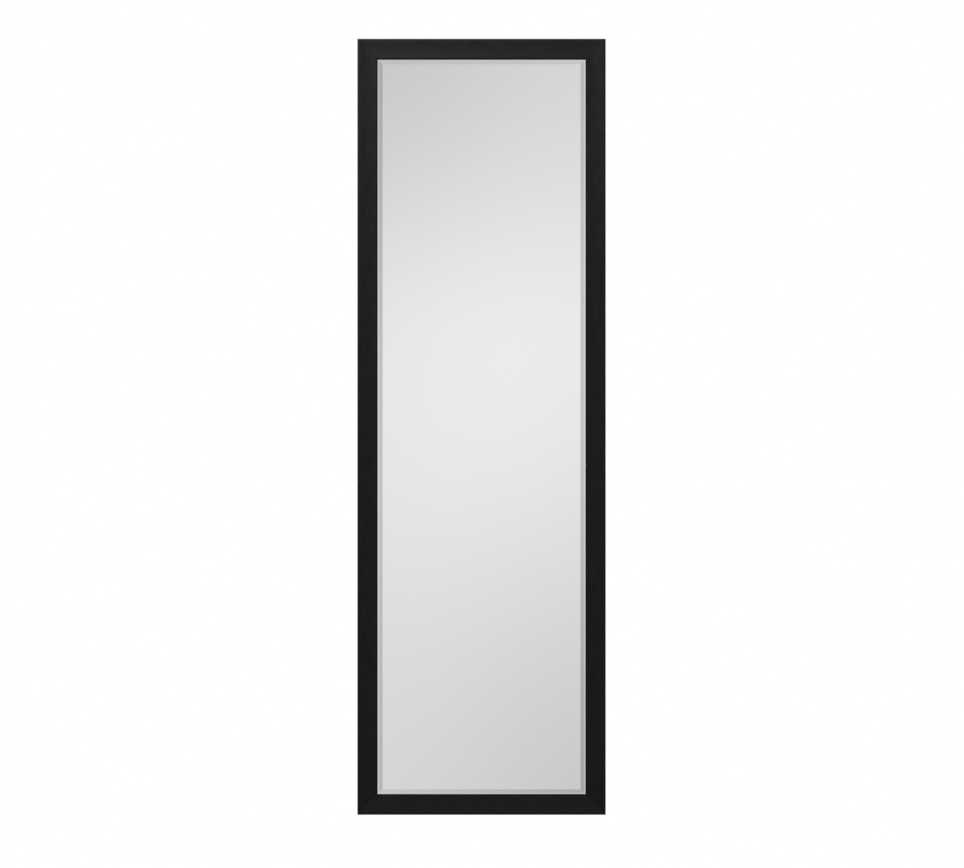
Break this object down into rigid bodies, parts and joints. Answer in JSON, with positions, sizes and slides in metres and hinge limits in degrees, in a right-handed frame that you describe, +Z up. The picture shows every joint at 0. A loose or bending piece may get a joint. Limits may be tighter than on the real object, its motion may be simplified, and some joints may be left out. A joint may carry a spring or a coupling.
{
  "type": "pull-out closet mirror",
  "caption": "Tall framed bevelled mirror on a closet pull-out: ball-bearing slides carry an upright post, and pivots on it let the mirror swing round to face the user.",
  "frame": {"origin": "centre of the four panel-screw holes, on the face that lies on the closet's side panel", "axes": "+X along the panel, the way the mirror pulls out; +Y into the panel, so the mirror faces -Y; +Z up"},
  "size_m": [0.4064, 0.052, 1.27],
  "materials": {
    "frame_lacquer": "black satin lacquer on a wooden moulding",
    "mirror_glass": "silvered float glass, bevelled and polished",
    "cardboard": "corrugated board",
    "backing_board": "bare fibreboard",
    "zinc_steel": "bright zinc plate",
    "slide_steel": "rolled steel, zinc plated",
    "cage_steel": "thin rolled steel",
    "ball_steel": "polished bearing steel",
    "black_powder_coat": "fine-textured black powder coat",
    "nylon": "moulded natural nylon",
    "rubber": "moulded black rubber"
  },
  "bodies": {
    "cabinet": {"upper_outer_member": "slide_steel", "lower_outer_member": "slide_steel", "slide_end_stops": "nylon"},
    "carriage": {"carrier_post": "black_powder_coat", "carrier_screws": "zinc_steel", "upper_inner_member": "slide_steel", "lower_inner_member": "slide_steel", "upper_pivot_bracket": "black_powder_coat", "lower_pivot_bracket": "black_powder_coat", "pivot_bolts": "zinc_steel", "lock_nuts": "zinc_steel", "upper_rest_bracket": "black_powder_coat", "lower_rest_bracket": "black_powder_coat", "rest_bumpers": "rubber"},
    "mirror": {"frame_top_rail": "frame_lacquer", "frame_bottom_rail": "frame_lacquer", "frame_left_stile": "frame_lacquer", "frame_right_stile": "frame_lacquer", "corner_v_nails": "zinc_steel", "mirror_glass": "mirror_glass", "cardboard_sheet": "cardboard", "backing_board": "backing_board", "backing_clips": "zinc_steel", "upper_hinge_plate": "black_powder_coat", "lower_hinge_plate": "black_powder_coat", "hinge_plate_screws": "zinc_steel", "hinge_bushes": "nylon"},
    "upper_middle_member": {"upper_middle_member": "slide_steel"},
    "upper_outer_cage": {"upper_outer_cage": "cage_steel", "upper_outer_balls": "ball_steel"},
    "upper_inner_cage": {"upper_inner_cage": "cage_steel", "upper_inner_balls": "ball_steel"},
    "lower_middle_member": {"lower_middle_member": "slide_steel"},
    "lower_outer_cage": {"lower_outer_cage": "cage_steel", "lower_outer_balls": "ball_steel"},
    "lower_inner_cage": {"lower_inner_cage": "cage_steel", "lower_inner_balls": "ball_steel"}
  },
  "joints": [
    {"name": "carriage_slide", "type": "slide", "parent": "cabinet", "child": "carriage", "axis": [1, 0, 0], "range_m": [0, 0.38]},
    {"name": "mirror_swing", "type": "hinge", "parent": "carriage", "child": "mirror", "pos_m": [0.19, -0.023, 0], "axis": [0, 0, 1], "range_deg": [0, 90]},
    {"name": "upper_middle_member_slide", "type": "slide", "parent": "cabinet", "child": "upper_middle_member", "axis": [1, 0, 0], "range_m": [0, 0.19]},
    {"name": "upper_outer_cage_slide", "type": "slide", "parent": "cabinet", "child": "upper_outer_cage", "axis": [1, 0, 0], "range_m": [0, 0.095]},
    {"name": "upper_inner_cage_slide", "type": "slide", "parent": "cabinet", "child": "upper_inner_cage", "axis": [1, 0, 0], "range_m": [0, 0.285]},
    {"name": "lower_middle_member_slide", "type": "slide", "parent": "cabinet", "child": "lower_middle_member", "axis": [1, 0, 0], "range_m": [0, 0.19]},
    {"name": "lower_outer_cage_slide", "type": "slide", "parent": "cabinet", "child": "lower_outer_cage", "axis": [1, 0, 0], "range_m": [0, 0.095]},
    {"name": "lower_inner_cage_slide", "type": "slide", "parent": "cabinet", "child": "lower_inner_cage", "axis": [1, 0, 0], "range_m": [0, 0.285]}
  ],
  "couplings": [
    {"joint": "upper_middle_member_slide", "follows": "carriage_slide", "ratio": 0.5},
    {"joint": "upper_outer_cage_slide", "follows": "carriage_slide", "ratio": 0.25},
    {"joint": "upper_inner_cage_slide", "follows": "carriage_slide", "ratio": 0.75},
    {"joint": "lower_middle_member_slide", "follows": "carriage_slide", "ratio": 0.5},
    {"joint": "lower_outer_cage_slide", "follows": "carriage_slide", "ratio": 0.25},
    {"joint": "lower_inner_cage_slide", "follows": "carriage_slide", "ratio": 0.75}
  ]
}
